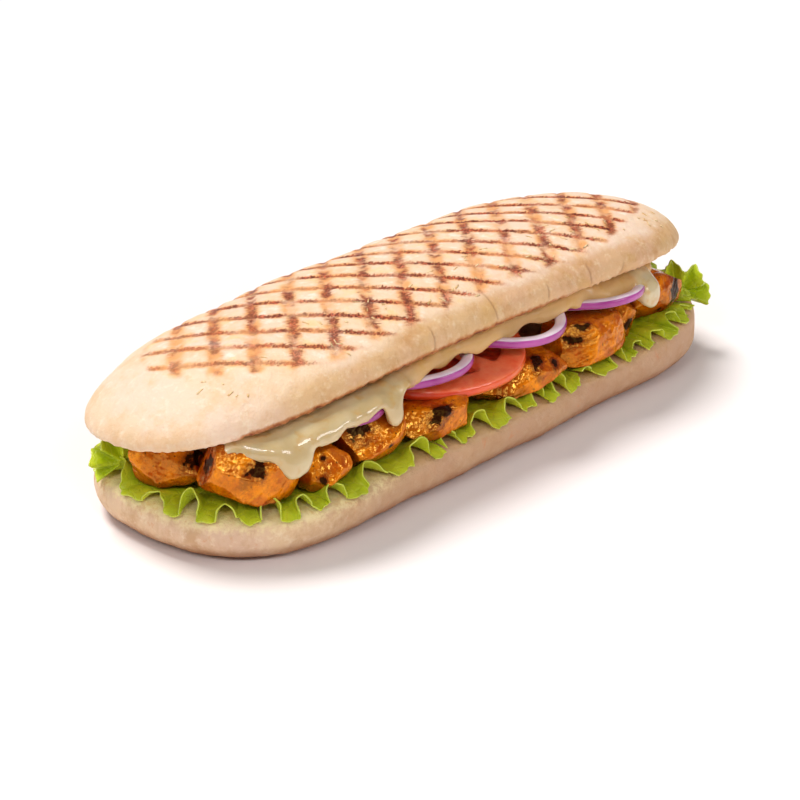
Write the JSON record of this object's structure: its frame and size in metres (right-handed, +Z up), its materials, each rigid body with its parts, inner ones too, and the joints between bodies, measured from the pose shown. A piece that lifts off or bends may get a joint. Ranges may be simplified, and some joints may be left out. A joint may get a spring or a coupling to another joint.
{
  "type": "turkey panini",
  "caption": "Long grilled panini cut open, filled with diced glazed turkey, lettuce, tomato, red onion and melted cheese.",
  "frame": {"origin": "centre of the object's footprint, on the surface it rests on", "axes": "+X along the loaf, +Y towards its back, +Z up; the open front side faces -Y"},
  "size_m": [0.2846, 0.1068, 0.0677],
  "materials": {
    "bread": "matte pale crust with browned grill marks",
    "lettuce": "satin bright green leaf with pale rims",
    "turkey": "glossy amber glaze with dark seared spots",
    "tomato": "wet red skin and salmon flesh",
    "onion": "wet purple skin and white flesh",
    "cheese": "glossy pale cream melt"
  },
  "bodies": {
    "root": {"bread_bottom": "bread", "bread_top": "bread", "lettuce_left": "lettuce", "lettuce_front_left": "lettuce", "lettuce_front_middle": "lettuce", "lettuce_front_right": "lettuce", "lettuce_right": "lettuce", "lettuce_back_right": "lettuce", "lettuce_back_middle": "lettuce", "lettuce_back_left": "lettuce", "lettuce_tip_right": "lettuce", "lettuce_tip_left": "lettuce", "tomato_1": "tomato", "tomato_2": "tomato", "tomato_3": "tomato", "onion_1": "onion", "onion_2": "onion", "onion_3": "onion", "onion_4": "onion", "onion_5": "onion", "turkey_1": "turkey", "turkey_2": "turkey", "turkey_3": "turkey", "turkey_4": "turkey", "turkey_5": "turkey", "turkey_6": "turkey", "turkey_7": "turkey", "turkey_8": "turkey", "turkey_9": "turkey", "turkey_10": "turkey", "turkey_11": "turkey", "turkey_12": "turkey", "turkey_13": "turkey", "turkey_14": "turkey", "turkey_15": "turkey", "turkey_16": "turkey", "cheese": "cheese"}
  },
  "joints": []
}
